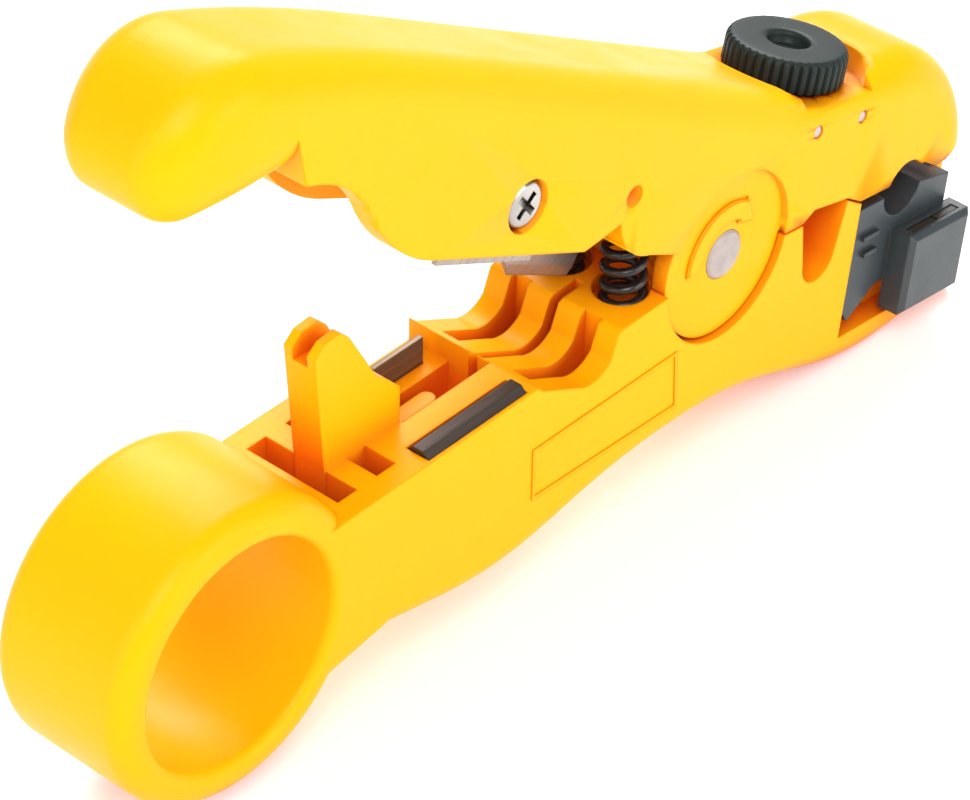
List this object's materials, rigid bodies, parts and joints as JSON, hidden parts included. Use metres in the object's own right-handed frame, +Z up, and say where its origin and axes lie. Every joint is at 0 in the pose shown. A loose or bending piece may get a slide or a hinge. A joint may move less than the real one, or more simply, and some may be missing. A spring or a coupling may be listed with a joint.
{
  "type": "wire stripping pliers",
  "caption": "Sprung plier-shaped cable stripper and cutter with a finger ring, a top lever, a cradle under a blade, a depth knob and a sliding cable cassette in its nose.",
  "frame": {"origin": "centre of the finger ring's bore, midway between the tool's two flat sides", "axes": "+X along the tool from the finger ring to the jaws, +Y along the axis of the ring, the hinge and the cable, +Z up from the foot to the lever"},
  "size_m": [0.1369, 0.021, 0.0862],
  "materials": {
    "yellow_body": "satin moulded plastic",
    "yellow_lever": "satin moulded plastic",
    "pin_steel": "plain",
    "spring_black": "black oxide, oiled",
    "blade_steel": "ground",
    "screw_chrome": "plated",
    "dark_steel": "dark oxide",
    "dark_plastic": "fine texture"
  },
  "bodies": {
    "base": {"lower_body": "yellow_body", "hinge_pin": "pin_steel", "spring_near": "spring_black", "spring_far": "spring_black", "flat_blade": "blade_steel", "anvil_bar": "dark_steel"},
    "lever": {"upper_lever": "yellow_lever", "cutting_blade": "blade_steel", "blade_screw": "screw_chrome", "blade_nut": "screw_chrome", "strip_blade": "blade_steel", "knob_pin_rear": "pin_steel", "knob_pin_front": "pin_steel", "stripping_blade": "blade_steel"},
    "knob": {"depth_knob": "dark_plastic", "adjusting_screw": "pin_steel"},
    "stop": {"depth_stop": "dark_plastic"},
    "cassette": {"cassette": "dark_plastic"}
  },
  "joints": [
    {"name": "lever_hinge", "type": "hinge", "parent": "base", "child": "lever", "pos_m": [0.075, 0, 0.0082], "axis": [0, -1, 0], "range_deg": [0, 24], "stiffness_Nm_per_rad": 0.8, "springref_deg": -17.19, "deforming": ["spring_near", "spring_far"]},
    {"name": "knob_turn", "type": "hinge", "parent": "lever", "child": "knob", "pos_m": [0.09556, 0, 0.02234], "axis": [0.2419, 0, 0.9703], "range_deg": [0, 720]},
    {"name": "stop_slide", "type": "slide", "parent": "lever", "child": "stop", "axis": [0.2419, 0, 0.9703], "range_m": [0, 0.0014]},
    {"name": "cassette_slide", "type": "slide", "parent": "base", "child": "cassette", "axis": [0, -1, 0], "range_m": [0, 0.018]}
  ],
  "couplings": [
    {"joint": "knob_turn", "follows": "stop_slide", "rad_per_m": 8976}
  ]
}
